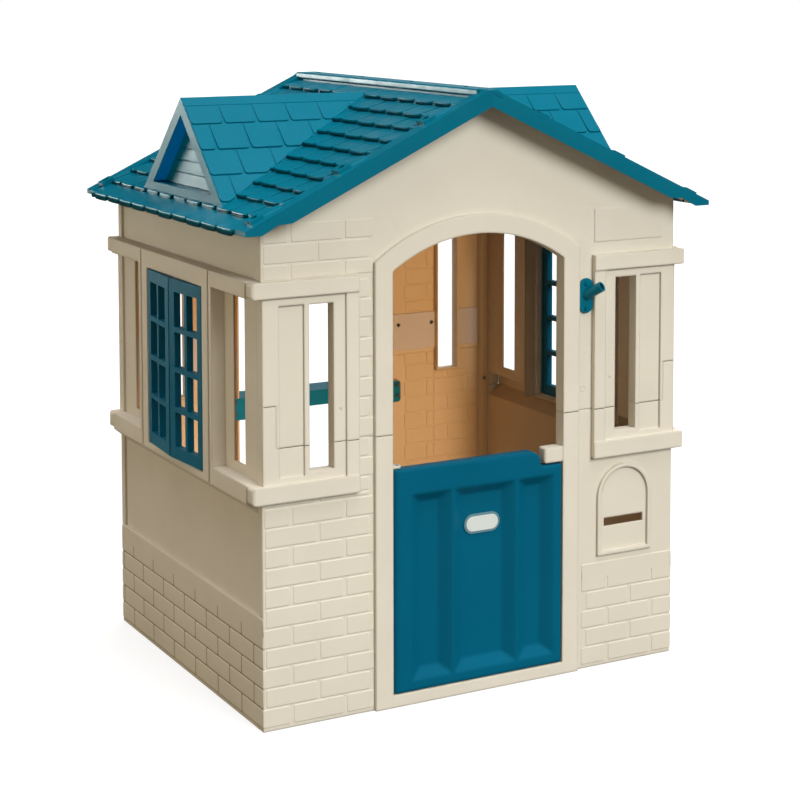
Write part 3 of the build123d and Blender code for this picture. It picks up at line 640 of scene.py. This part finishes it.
TILE_W = 0.077
TILE_GAP = 0.006
TILE_RISE = 0.0014
TILE_COLUMNS = 7
TILE_START = 0.423  # |x| of the first joint of an even row
BOARD = 0.027  # height of a clapboard
BOARDS = 6
TILE_ROWS = (-0.025, -0.078, -0.150, -0.219, -0.291)  # edges of the rows, down the slope from the ridge


def build_dormer(side):
    """Tiles on both slopes of a dormer, the strip along its ridge, its clapboards and slabs of painted light
    on its jambs.
    """
    label = "left" if side < 0 else "right"
    bm = bmesh.new()
    front = DORMER_X[1] - 0.0015
    meet = (BED_TOP + 0.6 * LAP - DORMER_TOP) / SLOPE
    rate = DORMER_SLOPE / SLOPE / DORMER_STRETCH
    for end in (-1, 1):
        face = Face((0, 0, DORMER_TOP), (-end, 0, 0), (0, -end, DORMER_SLOPE))
        mirror = -end * side
        for row, (v_high, v_low) in enumerate(zip(TILE_ROWS, TILE_ROWS[1:])):
            first = TILE_START + (TILE_W / 2 if row % 2 else 0.0)
            for column in range(TILE_COLUMNS):
                high = min(first + TILE_W * (1 - column) - TILE_GAP / 2, front)
                low = first - TILE_W * column + TILE_GAP / 2
                span = tuple(sorted((mirror * low, mirror * high)))
                outline = rectangle(span, (v_low + 0.001, v_high - 0.001), 0.006, 0.004)
                outline = clip(outline, (-mirror, -rate), -meet - 0.002)
                add_slab(bm, face, outline, TILE_RISE, SHINGLE_EDGE, lambda v: 0.03 * (v_high - v))
        span = tuple(sorted((mirror * (DORMER_X[0] + 0.006), mirror * front)))
        outline = clip(rectangle(span, (TILE_ROWS[0], -0.0005)), (-mirror, -rate), -meet - 0.002)
        add_slab(bm, face, outline, 0.0012, 0.0012)
    panel = Face((side * RECESS_X, 0, RECESS_FOOT), (0, side, 0), (0, 0, 1))
    for row in range(BOARDS):
        outline = rectangle((-0.2, 0.2), (row * BOARD + 0.001, (row + 1) * BOARD - 0.001))
        for half in (-1, 1):
            outline = clip(outline, (half * DORMER_SLOPE, 1), RECESS_TOP - RECESS_FOOT - 0.002)
        add_slab(bm, panel, outline, TILE_RISE, 0.0012, lambda v: 0.06 * ((row + 1) * BOARD - v))
    finish_piece(f"dormer_{label}_tiles", bm, TEAL)
    # slabs of painted light on the jambs of the sunk panel
    jambs = bmesh.new()
    depth = DORMER_X[1] - RECESS_X
    length = (RECESS_TOP - RECESS_FOOT) / DORMER_SLOPE * DORMER_STRETCH
    for end in (-1, 1):
        face = Face((side * RECESS_X, 0, RECESS_TOP), (side, 0, 0), (0, -end, DORMER_SLOPE))
        if face.out.z > 0:  # the jambs face down, into the recess
            face.out = -face.out
        add_slab(jambs, face, rectangle((0.0, depth - 0.002), (-length + 0.004, -0.003)), 0.0006, 0.0004)
    finish_piece(f"dormer_{label}_jambs", jambs, JAMB_PAINTED_LIGHT)


# ---------------------------------------------------------------- badge
def build_badge():
    """Blank pale plate inside the badge's border."""
    bm = bmesh.new()
    face = Face((0, BADGE_LOW.y, 0), (1, 0, 0), (0, 0, 1))
    border = 0.005
    span_u = (BADGE_LOW.x + border, BADGE_HIGH.x - border)
    span_v = (BADGE_LOW.z + border, BADGE_HIGH.z - border)
    radius = (span_v[1] - span_v[0]) / 2 - 0.0002
    outline = rectangle(span_u, span_v, radius, radius, steps=10)
    add_slab(bm, face, outline, 0.0012, 0.0008)
    finish_piece("badge_plate", bm, PALE, body="half_door")


# ---------------------------------------------------------------- stage
def add_lamp(name, kind, towards, energy, colour, place=(0, 0, 0)):
    data = bpy.data.lights.new(name, kind)
    data.energy = energy
    data.color = colour
    lamp = bpy.data.objects.new(name, data)
    bpy.context.scene.collection.objects.link(lamp)
    lamp.location = place
    lamp.rotation_mode = "QUATERNION"
    lamp.rotation_quaternion = Vector(towards).to_track_quat("-Z", "Y")
    lamp.visible_camera = False
    return lamp


def split_by_ray(tree, ray, otherwise, when):
    """Mixes two shaders by the kind of ray that meets them."""
    path = node(tree, "ShaderNodeLightPath")
    both = node(tree, "ShaderNodeMixShader")
    tree.links.new(path.outputs[ray], both.inputs[0])
    tree.links.new(otherwise, both.inputs[1])
    tree.links.new(when, both.inputs[2])
    return both.outputs[0]


def build_floor():
    """Pale floor: nearly white to the camera, dark and matt to the light that bounces from it."""
    bm = bmesh.new()
    reach = 30.0
    corners = ((-reach, -reach), (reach, -reach), (reach, reach), (-reach, reach))
    bm.faces.new([bm.verts.new((x, y, -0.0005)) for x, y in corners])
    mesh = bpy.data.meshes.new("floor")
    bm.to_mesh(mesh)
    bm.free()
    material = bpy.data.materials.new("pale_floor")
    material.use_nodes = True
    tree = material.node_tree
    tree.nodes.clear()
    bounce = node(tree, "ShaderNodeBsdfDiffuse", Color=(0.09, 0.085, 0.08, 1))
    unlit = node(tree, "ShaderNodeBsdfDiffuse", Color=(0.01, 0.01, 0.01, 1))
    paint = node(tree, "ShaderNodeBsdfDiffuse", Color=(0.95, 0.95, 0.95, 1))
    shine = node(tree, "ShaderNodeEmission", Color=(1, 1, 1, 1), Strength=1.04)
    shown = node(tree, "ShaderNodeMixShader", Fac=0.72)
    tree.links.new(paint.outputs[0], shown.inputs[1])
    tree.links.new(shine.outputs[0], shown.inputs[2])
    matt = split_by_ray(tree, "Is Glossy Ray", bounce.outputs[0], unlit.outputs[0])
    surface = split_by_ray(tree, "Is Camera Ray", matt, shown.outputs[0])
    out = node(tree, "ShaderNodeOutputMaterial")
    tree.links.new(surface, out.inputs["Surface"])
    mesh.materials.append(material)
    floor = bpy.data.objects.new("floor", mesh)
    bpy.context.scene.collection.objects.link(floor)
    floor.visible_shadow = False


# bright panels that glossy sides mirror: direction, cosines of the rim and of the core, strength
SOFTBOXES = (
    ((-0.478, 0.875, 0.02), 0.945, 0.985, 13.5),
    ((0.53, 0.80, 0.26), 0.955, 0.997, 0.5),
)


def build_world():
    """White to the camera, a warm dim room for matt light, two soft boxes for reflections."""
    world = bpy.data.worlds.new("studio")
    bpy.context.scene.world = world
    world.use_nodes = True
    world.cycles.sampling_method = "NONE"
    tree = world.node_tree
    tree.nodes.clear()
    white = node(tree, "ShaderNodeBackground", Color=(1, 1, 1, 1), Strength=1.0)
    ambient = node(tree, "ShaderNodeBackground", Color=(0.38, 0.31, 0.245, 1), Strength=1.0)
    gleam = node(tree, "ShaderNodeBackground", Color=(0.95, 1, 0.95, 1))
    sight = node(tree, "ShaderNodeTexCoord")
    total = node(tree, "ShaderNodeMath", operation="ADD")
    for socket, (direction, rim, core, strength) in enumerate(SOFTBOXES):
        along = node(tree, "ShaderNodeVectorMath", operation="DOT_PRODUCT")
        tree.links.new(sight.outputs["Generated"], along.inputs[0])
        along.inputs[1].default_value = Vector(direction).normalized()
        tree.links.new(ramp(tree, along.outputs["Value"], 0.0, strength, rim, core), total.inputs[socket])
    tree.links.new(total.outputs[0], gleam.inputs["Strength"])
    matt = split_by_ray(tree, "Is Glossy Ray", ambient.outputs[0], gleam.outputs[0])
    surface = split_by_ray(tree, "Is Camera Ray", matt, white.outputs[0])
    out = node(tree, "ShaderNodeOutputWorld")
    tree.links.new(surface, out.inputs["Surface"])


def build_lights():
    """Broad suns from four sides, and a warm glow indoors that lights the back wall."""
    for name, towards, energy, colour, spread in (
        ("key", (-0.25, 1.0, -0.55), 2.70, (0.94, 0.98, 0.97), 32),
        ("top", (0.0, 0.05, -1.0), 2.65, (0.96, 0.98, 1.0), 50),
        ("side", (1.0, 0.2, 0.18), 0.70, (1.0, 0.86, 0.52), 60),
        ("back", (-0.70, -0.80, -0.35), 1.90, (1.0, 0.97, 0.92), 40),
    ):
        lamp = add_lamp(name, "SUN", towards, energy, colour)
        lamp.data.angle = math.radians(spread)
        lamp.visible_glossy = False
    glow = add_lamp("room_glow", "AREA", (0, 1, 0), 1.75, (1.0, 0.68, 0.35), (0.0, 0.13, 0.50))
    glow.data.shape = "RECTANGLE"
    glow.data.size = 0.86
    glow.data.size_y = 0.90
    glow.data.spread = math.radians(50)
    glow.visible_glossy = False
    bpy.context.scene.view_settings.view_transform = "Standard"


CAMERA_AT = (-2.0611, -3.8412, 1.4927)
CAMERA_YAW = 0.4982  # radians from +Y towards +X
CAMERA_PITCH = 0.0823  # radians below the horizon
CAMERA_ROLL = -0.0016
CAMERA_LENS = 88.10  # on a 36 mm sensor
CAMERA_SHIFT = -0.325  # the lens looks nearly level and is shifted down, as for a building


def build_camera():
    """A shift-lens camera. The shift belongs to this viewpoint alone, and is zero anywhere else."""
    data = bpy.data.cameras.new("camera")
    data.sensor_width = 36.0
    data.lens = CAMERA_LENS
    camera = bpy.data.objects.new("camera", data)
    bpy.context.scene.collection.objects.link(camera)
    camera.rotation_mode = "QUATERNION"
    looking = Vector((
        math.sin(CAMERA_YAW) * math.cos(CAMERA_PITCH),
        math.cos(CAMERA_YAW) * math.cos(CAMERA_PITCH),
        -math.sin(CAMERA_PITCH),
    ))
    camera.location = CAMERA_AT
    roll = Matrix.Rotation(CAMERA_ROLL, 3, "Z").to_quaternion()
    camera.rotation_quaternion = looking.to_track_quat("-Z", "Y") @ roll
    shift = data.driver_add("shift_y").driver
    shift.type = "SCRIPTED"
    place = shift.variables.new()
    place.name = "x"
    place.type = "TRANSFORMS"
    place.targets[0].id = camera
    place.targets[0].transform_type = "LOC_X"
    shift.expression = f"{CAMERA_SHIFT} if abs(x - {CAMERA_AT[0]}) < 0.001 else 0.0"
    bpy.context.scene.camera = camera


# ---------------------------------------------------------------- dress every CAD node
SCREW_EDGE = 0.0004
BADGE_EDGE = 0.0008
SHEET_EDGE = 0.0018
BAR_EDGE = 0.0022
SHUTTER_EDGE = 0.0030

for name in NODES:
    # screws in the roof's pockets get painted shade
    if name.startswith("roof") and name.endswith("screws"):
        soften(name, POCKET_SHADE, SCREW_EDGE)
    elif name in ("ridge_screws", "flag_holder_screws"):
        soften(name, TEAL, SCREW_EDGE)
    elif name == "front_seam_screws":
        soften(name, BRICK, SCREW_EDGE)
    elif name.endswith("screws"):
        soften(name, ZINC, SCREW_EDGE)
    elif name.startswith("roof") or name == "flag_holder":
        soften(name, TEAL, SHEET_EDGE)
    elif name.startswith("shutter"):
        soften(name, NAVY, SHUTTER_EDGE, 3, flatten=False)
    elif name == "counter_bar":
        soften(name, TEAL, BAR_EDGE, 3)
    elif name == "front_door":
        soften(name, DOOR, BAR_EDGE, 3)
    elif name == "door_badge":
        soften(name, BORDER, BADGE_EDGE)
    else:
        soften(name, BEIGE, SHEET_EDGE, 3)

build_bricks()
build_seams()
build_band()
build_plinth()
for side in (-1, 1):
    build_shingles(side)
    build_dormer(side)
build_ridge()
build_badge()
build_floor()
build_world()
build_lights()
build_camera()
